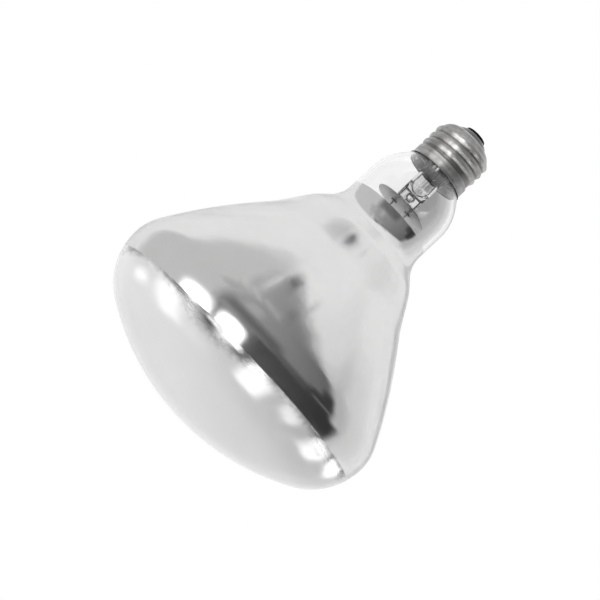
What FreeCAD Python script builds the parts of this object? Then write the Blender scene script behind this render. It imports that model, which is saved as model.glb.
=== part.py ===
import FreeCAD, Part

import math
import os

from FreeCAD import Vector

# Reflector heat lamp, in millimetres and degrees. The lamp hangs base up along +Z, face
# down. The origin is on its axis, where the screw shell's skirt rises out of its rim.

# Screw shell, size E26
thread_major = 26.2
thread_depth = 0.8
thread_pitch = 25.4 / 7
thread_turns = 3.1
thread_start_angle = 20.0
ridge_width = 2.4
shell_wall = 0.3
skirt_relief = 0.2
skirt_length = 3.7
rim_flare = 0.5
rim_height = 0.8
root_length = 9.9
shoulder_height = 4.8
mouth_diameter = 18.8

# Insulator, centre contact and cement
insulator_depth = 5.2
insulator_recess = 3.0
recess_diameter = 14.0
nose_height = 2.8
nose_margin = 0.6
contact_diameter = 9.2
contact_height = 0.9
contact_chamfer = 0.3
eyelet_wall = 0.3
eyelet_bore = 2.4
eyelet_depth = 2.0
solder_depth = 1.0
solder_height = 0.5
solder_diameter = 5.2
solder_flat = 2.4
cement_height = 1.4

# Glass envelope: its outline from the crown of the face to the tail inside the shell
bulb_diameter = 127.0
glass_wall = 1.1
face_rise = 37.0
front_round = 27.3
back_round = 20.0
back_angle = 27.0
flank_angle = 38.0
waist_round = 60.0
cone_angle = 30.0
cone_length = 11.7
shoulder_round = 18.0
neck_angle = 43.0
lean_length = 4.5
neck_fillet = 14.0
reflector_length = 75.0
neck_diameter = 39.2
neck_length = 11.7
neck_end_round = 20.0
neck_end_angle = 36.0
tail_fillet = 3.0
tail_length = 4.5
tail_clearance = 0.5
seat_clearance = 0.15

# Mirror coating on the inside of the flank
coating_thickness = 0.2
coating_past_rim = 6.9
coating_on_neck = 2.0

# Glass stem and exhaust tube
stem_diameter = 10.2
stem_wall = 0.9
flare_depth = 2.8
press_depth = 16.7
press_height = 3.6
press_blend = 3.2
press_thickness = 4.4
press_edge = 1.2
exhaust_diameter = 2.4
exhaust_wall = 0.5
exhaust_height = 9.0
exhaust_hole_diameter = 3.8
exhaust_hole_above_press_end = 2.1

# Leads
lead_spacing = 7.6
inner_lead_diameter = 0.9
outer_lead_diameter = 0.6
outer_lead_clearance = 0.1
seal_wire_diameter = 0.5
lead_bend = 3.0

# Heat shield on its two eyelets
shield_diameter = 24.4
shield_thickness = 0.4
shield_below_press = 2.85
eyelet_barrel_wall = 0.35
eyelet_flange = 0.7
eyelet_flange_height = 0.35

# Filament, its supports and the bead that carries them
bead_diameter = 3.2
bead_overhang = 2.6
bead_below_shield = 10.2
bead_to_bend = 4.0
support_diameter = 0.5
support_spacing = 1.8
filament_depth = 72.4
filament_ring = 22.0
filament_diameter = 1.8
filament_bend = 2.0
filament_gap = 0.15

# Sizes and levels worked out from the ones above
major_r = thread_major / 2
minor_r = major_r - thread_depth
skirt_r = major_r - skirt_relief
bore_r = minor_r - shell_wall
rim_inner_r = skirt_r + rim_flare - shell_wall
root_z = skirt_length + skirt_r - minor_r
shoulder_z = root_z + root_length
mouth_z = shoulder_z + shoulder_height
floor_z = mouth_z - insulator_depth
nose_z = mouth_z + nose_height
contact_z = nose_z + contact_height
ridge_z = skirt_length + ridge_width / 2

tail_r = bore_r - tail_clearance
neck_r = neck_diameter / 2
bulb_r = bulb_diameter / 2
end_angle = math.radians(neck_end_angle)
cone_top_r = neck_r - neck_end_round * (1 - math.cos(end_angle))
cone_rise = (cone_top_r - rim_inner_r) / math.tan(end_angle)
neck_end_z = -rim_height - seat_clearance - cone_rise - neck_end_round * math.sin(end_angle)
neck_start_z = neck_end_z - neck_length
widest_z = neck_start_z - reflector_length
crown_z = widest_z - face_rise
tail_fillet_fall = tail_fillet * (1 - math.cos(end_angle))
tail_cone_length = (cone_top_r - tail_r - tail_fillet_fall) / math.sin(end_angle)
tail_base_z = (
    neck_end_z
    + (neck_end_round + tail_fillet) * math.sin(end_angle)
    + tail_cone_length * math.cos(end_angle)
)

stem_r = stem_diameter / 2
stem_bore_r = stem_r - stem_wall
press_z = -press_depth + press_height
blend_z = press_z + press_blend
well_z = press_z + press_blend / 2
exhaust_r = exhaust_diameter / 2
exhaust_bore_r = exhaust_r - exhaust_wall
exhaust_hole_z = -press_depth + exhaust_hole_above_press_end
outer_lead_r = outer_lead_diameter / 2
outer_lead_x = stem_bore_r - outer_lead_r - outer_lead_clearance
inner_lead_r = inner_lead_diameter / 2
inner_lead_x = lead_spacing / 2
lead_edge = outer_lead_x + outer_lead_r
seal_z = well_z + stem_bore_r - math.sqrt(stem_bore_r**2 - lead_edge**2)
shield_z = -press_depth - shield_below_press
bead_r = bead_diameter / 2
bead_z = shield_z - bead_below_shield
mount_bend_z = bead_z - bead_r - bead_to_bend
filament_z = -filament_depth - filament_diameter / 2 - filament_gap

up = Vector(0, 0, 1)


def at(r, z):
    return Vector(r, 0, z)


def line(a, b):
    return Part.LineSegment(a, b).toShape()


def path(points):
    return [line(a, b) for a, b in zip(points, points[1:])]


def heading(lean):
    """Unit step along an outline that leans towards the axis by this angle."""
    angle = math.radians(lean)
    return at(-math.sin(angle), math.cos(angle))


def inward(lean):
    """Unit step from such an outline to its inner side."""
    angle = math.radians(lean)
    return at(-math.cos(angle), -math.sin(angle))


class Pen:
    """Draws an outline of tangent lines and arcs, by its lean towards the axis."""

    def __init__(self, start, lean):
        self.start = start
        self.place = start
        self.lean = lean
        self.edges = []

    def forward(self, length):
        end = self.place + heading(self.lean) * length
        self.edges.append(line(self.place, end))
        self.place = end

    def bend(self, radius, lean, hollow=False):
        side = -radius if hollow else radius
        centre = self.place + inward(self.lean) * side
        middle = centre - inward((self.lean + lean) / 2) * side
        end = centre - inward(lean) * side
        self.edges.append(Part.Arc(self.place, middle, end).toShape())
        self.place = end
        self.lean = lean

    def sweep_to(self, end, lean):
        third = (end - self.place).Length / 3
        first = self.place + heading(self.lean) * third
        last = end - heading(lean) * third
        curve = Part.BezierCurve()
        curve.setPoles([self.place, first, last, end])
        self.edges.append(curve.toShape())
        self.place = end
        self.lean = lean


def turned(edges):
    """Solid of revolution about the lamp's axis."""
    return Part.Face(Part.Wire(edges)).revolve(Vector(), up, 360)


def turned_wall(outer, inner, ends):
    """Solid of revolution between an outer and an inner outline."""
    return turned(outer.edges + path([outer.place, inner.place]) + inner.edges[::-1] + ends)


def rod(points, radius, bend):
    """Round wire along straight runs, with an arc of the bend radius at each corner."""
    edges = []
    start = points[0]
    for before, corner, after in zip(points, points[1:], points[2:]):
        back = (before - corner).normalize()
        ahead = (after - corner).normalize()
        half_turn = (math.pi - back.getAngle(ahead)) / 2
        trim = bend * math.tan(half_turn)
        depth = bend / math.cos(half_turn) - bend
        middle = corner + (back + ahead).normalize() * depth
        edges.append(line(start, corner + back * trim))
        start = corner + ahead * trim
        edges.append(Part.Arc(corner + back * trim, middle, start).toShape())
    edges.append(line(start, points[-1]))
    section = Part.Circle(points[0], points[1] - points[0], radius).toShape()
    return Part.Wire(edges).makePipeShell([Part.Wire(section)], True, True)


def draw_flank(pen, inset):
    """From the widest plane over the flank, waist and shoulder to the straight neck."""
    upper = Pen(at(neck_r - inset, neck_start_z), 0)
    upper.bend(neck_fillet + inset, neck_angle, hollow=True)
    upper.forward(-lean_length)
    upper.bend(shoulder_round - inset, cone_angle)
    upper.forward(-cone_length)
    upper.bend(waist_round + inset, flank_angle, hollow=True)
    pen.bend(back_round - inset, back_angle)
    pen.sweep_to(upper.place, upper.lean)
    pen.edges += upper.edges[::-1]
    pen.place = upper.start
    pen.lean = 0


def envelope_skin(inset):
    """The glass's outline, this far inside its outer surface, from crown to tail."""
    spread = bulb_r - front_round
    dome_round = (spread**2 + face_rise**2 - front_round**2) / (2 * (face_rise - front_round))
    dome_lean = -math.degrees(math.acos(spread / (dome_round - front_round)))
    pen = Pen(at(0, crown_z + inset), -90)
    pen.bend(dome_round - inset, dome_lean)
    pen.bend(front_round - inset, 0)
    draw_flank(pen, inset)
    pen.forward(neck_length)
    pen.bend(neck_end_round - inset, neck_end_angle)
    pen.forward(tail_cone_length)
    pen.bend(tail_fillet + inset, 0, hollow=True)
    pen.forward(tail_length)
    return pen


def make_envelope():
    outer = envelope_skin(0)
    inner = envelope_skin(glass_wall)
    return turned_wall(outer, inner, path([inner.start, outer.start]))


def coating_skin(inset):
    """The glass's outline from the ring by the face to the coating's edge on the neck."""
    radius = front_round - inset
    lean = -math.degrees(math.asin(coating_past_rim / radius))
    centre = at(bulb_r - front_round, widest_z)
    pen = Pen(centre - inward(lean) * radius, lean)
    pen.bend(radius, 0)
    draw_flank(pen, inset)
    pen.forward(coating_on_neck)
    return pen


def make_coating():
    outer = coating_skin(glass_wall)
    inner = coating_skin(glass_wall + coating_thickness)
    return turned_wall(outer, inner, path([inner.start, outer.start]))


def shell_skin(inset):
    """The screw shell's outline without its thread, from rim to mouth."""
    fall = minor_r - mouth_diameter / 2
    mouth_round = (fall**2 + shoulder_height**2) / (2 * fall)
    mouth_lean = 2 * math.degrees(math.atan(fall / shoulder_height))
    skirt = [
        at(skirt_r + rim_flare - inset, -rim_height),
        at(skirt_r - inset, 0),
        at(skirt_r - inset, skirt_length),
        at(minor_r - inset, root_z),
    ]
    pen = Pen(skirt[-1], 0)
    pen.forward(root_length)
    pen.bend(mouth_round - inset, mouth_lean)
    pen.edges = path(skirt) + pen.edges
    pen.start = skirt[0]
    return pen


def make_ridge(inset):
    """The rolled thread's rounded ridge, whose section is an arc sunk into the wall."""
    crest_round = (ridge_width**2 / 4 + thread_depth**2) / (2 * thread_depth)
    centre_r = major_r - crest_round
    radius = crest_round - inset
    sunk_r = minor_r - inset - shell_wall / 2
    half_width = math.sqrt(radius**2 - (sunk_r - centre_r) ** 2)
    low = at(sunk_r, -half_width)
    high = at(sunk_r, half_width)
    crest = Part.Arc(low, at(centre_r + radius, 0), high).toShape()
    helix = Part.makeHelix(thread_pitch, thread_pitch * thread_turns, minor_r)
    section = Part.Wire([crest, line(high, low)])
    ridge = Part.Wire(helix).makePipeShell([section], True, True)
    ridge.rotate(Vector(), up, thread_start_angle)
    ridge.translate(at(0, ridge_z))
    return ridge


def threaded_plug(inset):
    """Everything inside the shell's skin, its seam turned away from the thread's ends."""
    skin = shell_skin(inset)
    mouth = at(mouth_diameter / 2, mouth_z)
    lip = [line(skin.place, mouth)] if inset else []
    axis = path([mouth, at(0, mouth_z), at(0, -rim_height), skin.start])
    plug = turned(skin.edges + lip + axis)
    plug.rotate(Vector(), up, 180)
    return plug.fuse(make_ridge(inset))


def make_shell():
    return threaded_plug(0).cut(threaded_plug(shell_wall))


def make_insulator():
    """Plug moulded into the shell's end, with a nose for the contact."""
    skin = shell_skin(shell_wall)
    nose_r = contact_diameter / 2 + nose_margin
    hole_r = eyelet_bore / 2 + eyelet_wall
    recess_r = recess_diameter / 2
    recess_z = floor_z + insulator_recess
    rest = path([
        skin.place,
        at(nose_r, nose_z),
        at(hole_r, nose_z),
        at(hole_r, recess_z),
        at(recess_r, recess_z),
        at(recess_r, floor_z),
        at(bore_r, floor_z),
        at(bore_r, shoulder_z),
    ])
    return turned([skin.edges[-1]] + rest)


def make_contact():
    """Flanged eyelet, its barrel in the insulator's hole."""
    flange_r = contact_diameter / 2
    bore = eyelet_bore / 2
    barrel_r = bore + eyelet_wall
    foot = at(bore, nose_z - eyelet_depth)
    return turned(path([
        foot,
        at(barrel_r, nose_z - eyelet_depth),
        at(barrel_r, nose_z),
        at(flange_r, nose_z),
        at(flange_r, contact_z - contact_chamfer),
        at(flange_r - contact_chamfer, contact_z),
        at(bore, contact_z),
        foot,
    ]))


def make_solder():
    """Fills the eyelet round the end of the centre lead, with a flattened cap."""
    bore = eyelet_bore / 2
    foot = at(outer_lead_r, nose_z - solder_depth)
    return turned(path([
        foot,
        at(bore, nose_z - solder_depth),
        at(bore, contact_z),
        at(solder_diameter / 2, contact_z),
        at(solder_flat / 2, contact_z + solder_height),
        at(0, contact_z + solder_height),
        at(0, nose_z),
        at(outer_lead_r, nose_z),
        foot,
    ]))


def make_cement():
    """Ring between the glass's tail and the shell's skirt."""
    low = skirt_length - cement_height
    return turned(path([
        at(tail_r, low),
        at(skirt_r - shell_wall, low),
        at(skirt_r - shell_wall, skirt_length),
        at(tail_r, skirt_length),
        at(tail_r, low),
    ]))


def make_seal_wires():
    """Wires that carry the leads through the press, one on each side."""
    wires = []
    for side in (-1, 1):
        top = Vector(side * outer_lead_x, 0, seal_z)
        foot = Vector(side * inner_lead_x, 0, -press_depth)
        disc = Part.Face(Part.Wire(Part.Circle(top, up, seal_wire_diameter / 2).toShape()))
        wires.append(disc.extrude(foot - top))
    return wires


def flare_skin(inset):
    """The flare's outline from the tube out to the inside of the tail."""
    lip_r = tail_r - glass_wall
    reach = lip_r - stem_r
    rise = tail_base_z + tail_length / 2 + flare_depth
    sweep = (reach**2 + rise**2) / (2 * reach)
    radius = sweep + inset
    pen = Pen(at(stem_r - inset, -flare_depth), 0)
    pen.bend(radius, -math.degrees(math.acos((sweep - reach) / radius)), hollow=True)
    return pen


def make_flare():
    """Trumpet at the stem's upper end, sealed to the inside of the tail."""
    outer = flare_skin(0)
    inner = flare_skin(stem_wall)
    return turned_wall(outer, inner, path([inner.start, outer.start]))


def make_stem(seal_wires):
    """Flare and tube, blended into the flat press that grips the seal wires.

    The exhaust tube opens through a round hollow blown in the press's front.
    """
    tube = Part.makeCylinder(stem_r, -flare_depth - blend_z, at(0, blend_z))
    rim = Part.Wire(Part.Circle(at(0, blend_z), up, stem_r).toShape())
    press_rim = Part.Ellipse(at(0, press_z), inner_lead_x + press_edge, press_thickness / 2)
    press_wire = Part.Wire(press_rim.toShape())
    blend = Part.makeLoft([rim, press_wire], True, True)
    press = Part.Face(press_wire).extrude(at(0, -press_height))
    round_z = well_z + stem_bore_r
    bore = Part.makeCylinder(stem_bore_r, -flare_depth - round_z, at(0, round_z))
    well = bore.fuse(Part.makeSphere(stem_bore_r, at(0, round_z)))
    hollow = Part.makeSphere(exhaust_hole_diameter / 2, Vector(0, -press_thickness / 2, exhaust_hole_z))
    channel = Part.makeCylinder(exhaust_bore_r, well_z - exhaust_hole_z, at(0, exhaust_hole_z))
    return tube.fuse([blend, press, make_flare()]).cut([well, hollow, channel] + seal_wires)


def make_exhaust():
    """Thin tube from the bottom of the stem's well, tipped off in the base."""
    foot_z = well_z + stem_bore_r - math.sqrt(stem_bore_r**2 - exhaust_r**2)

    def tube(radius):
        straight = exhaust_height - exhaust_r - foot_z
        body = Part.makeCylinder(radius, straight, at(0, foot_z))
        return body.fuse(Part.makeSphere(radius, at(0, exhaust_height - exhaust_r)))

    return tube(exhaust_r).cut(tube(exhaust_bore_r))


def make_centre_lead():
    return rod([
        at(-outer_lead_x, seal_z),
        at(-outer_lead_x, exhaust_height),
        at(0, floor_z + insulator_recess / 2),
        at(0, nose_z),
    ], outer_lead_r, lead_bend)


def make_side_lead():
    """Meets the shell's wall midway between two turns of the thread."""
    turns_up = 1.5 - thread_start_angle / 360
    height = ridge_z + thread_pitch * turns_up
    wall_x = math.sqrt(bore_r**2 - outer_lead_r**2)
    points = [at(outer_lead_x, seal_z), at(outer_lead_x, height), at(wall_x, height)]
    return rod(points, outer_lead_r, lead_bend)


def ring_corner(index):
    """Corner of the six-sided filament ring, whose open side faces -Y."""
    angle = math.radians(210 - 60 * index)
    return Vector(math.cos(angle), math.sin(angle), 0) * (filament_ring / 2)


def make_inner_leads():
    leads = []
    for side, corner in ((-1, 0), (1, 4)):
        top = at(side * inner_lead_x, -press_depth)
        bend = at(side * inner_lead_x, mount_bend_z)
        end = ring_corner(corner) + at(0, -filament_depth)
        leads.append(rod([top, bend, end], inner_lead_r, lead_bend))
    return leads


def make_supports():
    """Three wires out of the bead, each to a corner of the filament."""
    wires = []
    for corner in (1, 2, 3):
        x = (corner - 2) * support_spacing
        end = ring_corner(corner) + at(0, -filament_depth)
        points = [at(x, bead_z), at(x, mount_bend_z), end]
        wires.append(rod(points, support_diameter / 2, lead_bend))
    return wires


def make_filament():
    """The coil as a rod of its outer diameter, in spans from support to support."""
    corners = [ring_corner(i) + at(0, filament_z) for i in range(5)]
    return rod(corners, filament_diameter / 2, filament_bend)


def make_bead(wires):
    length = lead_spacing + 2 * bead_overhang
    bead = Part.makeCylinder(bead_r, length, at(-length / 2, bead_z), Vector(1, 0, 0))
    return bead.cut(wires)


def make_shield():
    low = shield_z - shield_thickness / 2
    disc = Part.makeCylinder(shield_diameter / 2, shield_thickness, at(0, low))
    hole_r = inner_lead_r + eyelet_barrel_wall
    holes = [Part.makeCylinder(hole_r, shield_thickness, at(side * inner_lead_x, low))
             for side in (-1, 1)]
    return disc.cut(holes)


def make_shield_eyelet(side):
    """Spool crimped on a lead, its two flanges holding the shield."""
    barrel_r = inner_lead_r + eyelet_barrel_wall
    flange_r = barrel_r + eyelet_flange
    half = shield_thickness / 2
    end = half + eyelet_flange_height
    spool = turned(path([
        at(inner_lead_r, -end),
        at(flange_r, -end),
        at(flange_r, -half),
        at(barrel_r, -half),
        at(barrel_r, half),
        at(flange_r, half),
        at(flange_r, end),
        at(inner_lead_r, end),
        at(inner_lead_r, -end),
    ]))
    spool.translate(at(side * inner_lead_x, shield_z))
    return spool


def make_pieces():
    seals = make_seal_wires()
    leads = make_inner_leads()
    supports = make_supports()
    return {
        "glass_envelope": make_envelope(),
        "reflector_coating": make_coating(),
        "screw_shell": make_shell(),
        "base_insulator": make_insulator(),
        "contact_eyelet": make_contact(),
        "contact_solder": make_solder(),
        "basing_cement": make_cement(),
        "glass_stem": make_stem(seals),
        "exhaust_tube": make_exhaust(),
        "seal_wire_left": seals[0],
        "seal_wire_right": seals[1],
        "centre_lead": make_centre_lead(),
        "side_lead": make_side_lead(),
        "inner_lead_left": leads[0],
        "inner_lead_right": leads[1],
        "heat_shield": make_shield(),
        "shield_eyelet_left": make_shield_eyelet(-1),
        "shield_eyelet_right": make_shield_eyelet(1),
        "support_bead": make_bead(leads + supports),
        "support_wire_left": supports[0],
        "support_wire_middle": supports[1],
        "support_wire_right": supports[2],
        "filament": make_filament(),
    }


os.makedirs("parts", exist_ok=True)
for name, shape in make_pieces().items():
    shape.exportStep("parts/" + name + ".step")
    print(name, len(shape.Solids), shape.isValid(), round(shape.Volume, 2))
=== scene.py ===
import bpy
import numpy as np
from mathutils import Matrix, Vector


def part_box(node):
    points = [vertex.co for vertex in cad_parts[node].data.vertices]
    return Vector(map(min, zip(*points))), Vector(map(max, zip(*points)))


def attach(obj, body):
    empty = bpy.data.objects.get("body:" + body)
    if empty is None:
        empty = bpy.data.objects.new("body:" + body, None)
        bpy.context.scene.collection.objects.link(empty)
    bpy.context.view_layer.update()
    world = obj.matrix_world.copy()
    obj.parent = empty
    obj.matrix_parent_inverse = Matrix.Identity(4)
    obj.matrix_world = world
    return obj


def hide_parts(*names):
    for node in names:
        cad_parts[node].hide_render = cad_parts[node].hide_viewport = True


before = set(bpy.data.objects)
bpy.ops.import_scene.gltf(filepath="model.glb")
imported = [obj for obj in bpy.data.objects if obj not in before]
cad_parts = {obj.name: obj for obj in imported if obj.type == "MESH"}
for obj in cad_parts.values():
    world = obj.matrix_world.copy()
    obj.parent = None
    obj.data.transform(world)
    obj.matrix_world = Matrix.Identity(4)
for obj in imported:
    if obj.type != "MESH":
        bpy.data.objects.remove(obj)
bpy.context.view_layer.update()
print("frame loaded:", len(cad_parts), "nodes")

mm = 0.001  # the pieces below are in millimetres and degrees, the meshes in metres


# outlines and grids

def heading(angle):
    # unit step along an outline that leans towards the axis by this angle: (-sin, cos)
    a = np.radians(angle)
    return np.stack([-np.sin(a), np.cos(a)], -1)


def inward(angle):
    # unit step from that outline to its inner side: the heading turned left, (-cos, -sin)
    a = np.radians(angle)
    return np.stack([-np.cos(a), -np.sin(a)], -1)


class Outline:
    # an outline in the r-z plane: runs, arcs and sweeps that each start along the one before
    def __init__(self, r, z, angle):
        self.rows = [np.array([[r, z]], float)]
        self.angle = angle

    def place(self):
        return self.rows[-1][-1]

    def forward(self, length, steps=1):
        # place plus heading times distance
        t = np.linspace(0, length, steps + 1)[1:, None]
        self.rows.append(self.place() + heading(self.angle) * t)
        return self

    def bend(self, radius, angle, steps, hollow=False):
        # centre minus radius times the inward step, as the lean turns to the new angle
        side = -radius if hollow else radius
        centre = self.place() + inward(self.angle) * side
        turn = np.linspace(self.angle, angle, steps + 1)[1:]
        self.rows.append(centre - inward(turn) * side)
        self.angle = angle
        return self

    def sweepTo(self, end, angle, steps):
        # cubic Bezier that leaves and arrives along the two leans, handles a third of the chord
        t = np.linspace(0, 1, steps + 1)[1:, None]
        start = self.place()
        third = np.linalg.norm(end - start) / 3
        near, far = start + heading(self.angle) * third, end - heading(angle) * third
        s = 1 - t
        self.rows.append(s**3 * start + 3 * s * s * t * near + 3 * s * t * t * far + t**3 * end)
        self.angle = angle
        return self

    def add(self, points, angle=None):
        # further points as they are
        self.rows.append(np.array(points, float))
        self.angle = self.angle if angle is None else angle
        return self

    def points(self):
        return np.concatenate(self.rows)


def turned(outline, steps, wide=1.0, deep=1.0):
    # each (r, z) carried round the axis: (wide r cos t, deep r sin t, z)
    t = np.linspace(0, 2 * np.pi, steps, endpoint=False)
    r, z = outline[:, :1], outline[:, 1:]
    wide, deep = (np.broadcast_to(np.asarray(k, float).reshape(-1, 1), r.shape) for k in (wide, deep))
    return np.stack([wide * r * np.cos(t), deep * r * np.sin(t), z + 0 * t], -1)


wireCap = {"across": [0, 0.8, 0.94], "along": [0, 0, 0.06, 0.2]}  # a wire's rounded end, in radii


def tubed(path, radius, sides, across):
    # a circle carried along a flat path: centre + radius (across cos t + side sin t), ends closed
    ahead = np.gradient(path, axis=0)
    ahead /= np.linalg.norm(ahead, axis=1, keepdims=True)
    across = np.broadcast_to(across / np.linalg.norm(across, axis=-1, keepdims=True), path.shape)
    side = np.cross(ahead, across)
    side /= np.linalg.norm(side, axis=1, keepdims=True)
    rows = np.concatenate([[0, 0, 0], np.arange(len(path)), [-1, -1, -1]])
    grow, slide = np.array(wireCap["across"]), np.array(wireCap["along"])
    swell = np.concatenate([grow, np.ones(len(path)), grow[::-1]]) * radius
    shift = np.concatenate([slide, np.zeros(len(path) - 2), -slide[::-1]])[:, None] * radius * ahead[rows]
    t = np.linspace(0, 2 * np.pi, sides, endpoint=False)[None, :, None]
    ring = np.cos(t) * across[rows][:, None] + np.sin(t) * side[rows][:, None]
    centre = (path[rows] + shift)[:, None]
    return centre + swell[:, None, None] * ring


def bentPath(corners, bend, steps):
    # straight runs joined by arcs: each arc turns about the point where both runs are a bend away
    corners = np.array(corners, float)
    rows = [corners[:1]]
    for before, corner, after in zip(corners, corners[1:], corners[2:]):
        back, ahead = before - corner, after - corner
        back, ahead = back / np.linalg.norm(back), ahead / np.linalg.norm(ahead)
        half = (np.pi - np.arccos(np.clip(back @ ahead, -1, 1))) / 2
        middle = (back + ahead) / np.linalg.norm(back + ahead)
        centre = corner + middle * bend / np.cos(half)
        along = ahead - back
        along = along / np.linalg.norm(along)
        t = np.linspace(-half, half, steps)[:, None]
        rows.append(centre + bend * (np.sin(t) * along - np.cos(t) * middle))
    rows.append(corners[-1:])
    return np.concatenate(rows)


def respaced(path, gap):
    # the same path in equal steps, read off along its length
    run = np.concatenate([[0], np.cumsum(np.linalg.norm(np.diff(path, axis=0), axis=1))])
    s = np.linspace(0, run[-1], max(3, int(round(run[-1] / gap)) + 1))
    return np.stack([np.interp(s, run, path[:, k]) for k in range(3)], -1)


weldSteps = 1e7  # points that agree to this many steps to the metre are one vertex


def meshPiece(name, grid, loop=False, zones=None, crease=38, closed=True):
    # quads between neighbouring grid points, closed round the columns and, for a loop, the rows;
    # points that coincide are one vertex, so a pole's quads become triangles
    rows, cols = grid.shape[:2]
    i = np.arange(rows if loop else rows - 1)[:, None]
    j = np.arange(cols if closed else cols - 1)[None, :]
    corners = ((i, j), (i, j + 1), (i + 1, j + 1), (i + 1, j))
    quads = np.stack([(a % rows) * cols + b % cols for a, b in corners], -1).reshape(-1, 4)
    zone = np.zeros(rows, int) if zones is None else np.asarray(zones)
    zone = np.repeat(zone[:len(i)], j.size)
    spots = grid.reshape(-1, 3) * mm
    keys = np.round(spots * weldSteps).astype(np.int64)
    _, first, back = np.unique(keys, axis=0, return_index=True, return_inverse=True)
    quads = back.reshape(-1)[quads]
    double = quads == np.roll(quads, 1, axis=1)
    kept = double.sum(1) < 2
    quads, double, zone = quads[kept], double[kept], zone[kept]
    pole = double.any(1)
    fans = quads[pole][~double[pole]].reshape(-1, 3)
    mesh = bpy.data.meshes.new(name)
    mesh.from_pydata(spots[first].tolist(), [], quads[~pole].tolist() + fans.tolist())
    zone = np.concatenate([zone[~pole], zone[pole]]).astype(np.int32)
    mesh.polygons.foreach_set("material_index", zone)
    mesh.shade_smooth()
    mesh.set_sharp_from_angle(angle=np.radians(crease))
    mesh.update()
    piece = bpy.data.objects.new(name, mesh)
    bpy.context.scene.collection.objects.link(piece)
    return piece


def fitPiece(piece, node, finishes):
    # the piece stands in for its solid, which is hidden, rides on the lamp and takes the finishes given
    for look in finishes:
        piece.data.materials.append(look)
    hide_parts(node)
    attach(piece, "root")


# shader sums

class Value:
    # a socket that adds Math nodes when it is used in a sum
    def __init__(self, finish, socket):
        self.finish, self.socket = finish, socket

    def math(self, operation, *others):
        return self.finish.math(operation, self, *others)

    def __add__(self, other):
        return self.math("ADD", other)

    def __sub__(self, other):
        return self.math("SUBTRACT", other)

    def __rsub__(self, other):
        return self.finish.math("SUBTRACT", other, self)

    def __mul__(self, other):
        return self.math("MULTIPLY", other)

    def __truediv__(self, other):
        return self.math("DIVIDE", other)

    def __rtruediv__(self, other):
        return self.finish.math("DIVIDE", other, self)

    def __pow__(self, other):
        return self.math("POWER", other)

    __radd__ = __add__
    __rmul__ = __mul__

    def step(self, low, high):
        # smooth step from 0 at low to 1 at high
        settings = {"interpolation_type": "SMOOTHSTEP"}
        return self.finish.node("MapRange", settings, {"Value": self, "From Min": low, "From Max": high})

    def band(self, low, high, soft):
        # 1 between low and high, with soft edges
        return self.step(low - soft, low + soft) * (1 - self.step(high - soft, high + soft))


class Finish:
    # a node tree that is filled by one method
    def __init__(self, tree):
        self.tree = tree
        tree.nodes.clear()

    def node(self, kind, settings=None, sockets=None, out=0):
        # makes the node, sets its properties, links or fills its sockets and gives the output asked for
        made = self.tree.nodes.new("ShaderNode" + kind)
        for key, value in (settings or {}).items():
            setattr(made, key, value)
        for key, value in (sockets or {}).items():
            slot = made.inputs[key] if isinstance(key, int) else next(
                s for s in made.inputs if s.enabled and key in (s.identifier, s.name))
            if isinstance(value, Value):
                self.tree.links.new(value.socket, slot)
            else:
                slot.default_value = value
        if not len(made.outputs):
            return None
        if isinstance(out, int):
            return Value(self, made.outputs[out])
        return Value(self, next(s for s in made.outputs if s.enabled and out in (s.identifier, s.name)))

    def math(self, operation, *terms):
        return self.node("Math", {"operation": operation}, dict(enumerate(terms)))

    def coord(self):
        return self.node("TexCoord", out="Object")

    def height(self):
        return self.node("SeparateXYZ", None, {0: self.coord()}, out="Z")

    def noise(self, scale, detail=2.0, rough=0.5, vector=None):
        # soft noise, about 0 to 1, with this many cells to the metre
        vector = vector or self.coord()
        return self.node("TexNoise", None, {
            "Vector": vector, "Scale": scale, "Detail": detail, "Roughness": rough})

    def specks(self, scale, size):
        # 1 in small round spots of a cell grid, 0 between them
        away = self.node("TexVoronoi", None, {"Vector": self.coord(), "Scale": scale}, out="Distance")
        return 1 - away.step(size * 0.6, size)

    def shade(self, dark, light, factor):
        # from one colour to the other by a value
        return self.node("Mix", {"data_type": "RGBA"}, {
            "Factor_Float": factor, "A_Color": dark, "B_Color": light}, out="Result_Color")

    def bump(self, height, strength, distance):
        return self.node("Bump", None, {"Height": height, "Strength": strength, "Distance": distance})

    def surface(self, **sockets):
        # the principled shader, with socket names written as words joined by underscores
        named = {key.replace("_", " "): value for key, value in sockets.items()}
        self.finishWith(self.node("BsdfPrincipled", None, named))

    def finishWith(self, shader, kind="OutputMaterial"):
        self.node(kind, None, {"Surface": shader})


def newFinish(name):
    # an empty material and the tree that is to fill it
    material = bpy.data.materials.new(name)
    material.use_nodes = True
    return material, Finish(material.node_tree)


def grey(level, warm=0.0):
    # red up and blue down by the warm share
    return (level * (1 + warm), level, level * (1 - warm), 1)


def clearGlass(name, tint):
    # clear blown glass with a faint waviness and a little dust
    material, f = newFinish(name)
    dust = f.specks(900, 0.12) * f.noise(35).step(0.5, 0.7)
    wave = f.noise(28, 1.0)
    f.surface(Base_Color=f.shade(grey(tint), grey(tint * 0.95), dust), Roughness=0.01 + dust * 0.35,
              Transmission_Weight=1.0, IOR=1.5, Normal=f.bump(wave, 0.08, 0.002))
    return material


frost = {
    "bare": 0.2, "full": 5.2, "ragged": 3.0, "swell": 2.3, "waves": 5, "shift": 66.0,
    "tilt": 1.3, "tiltShift": 10.0, "through": 0.16,
}


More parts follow.
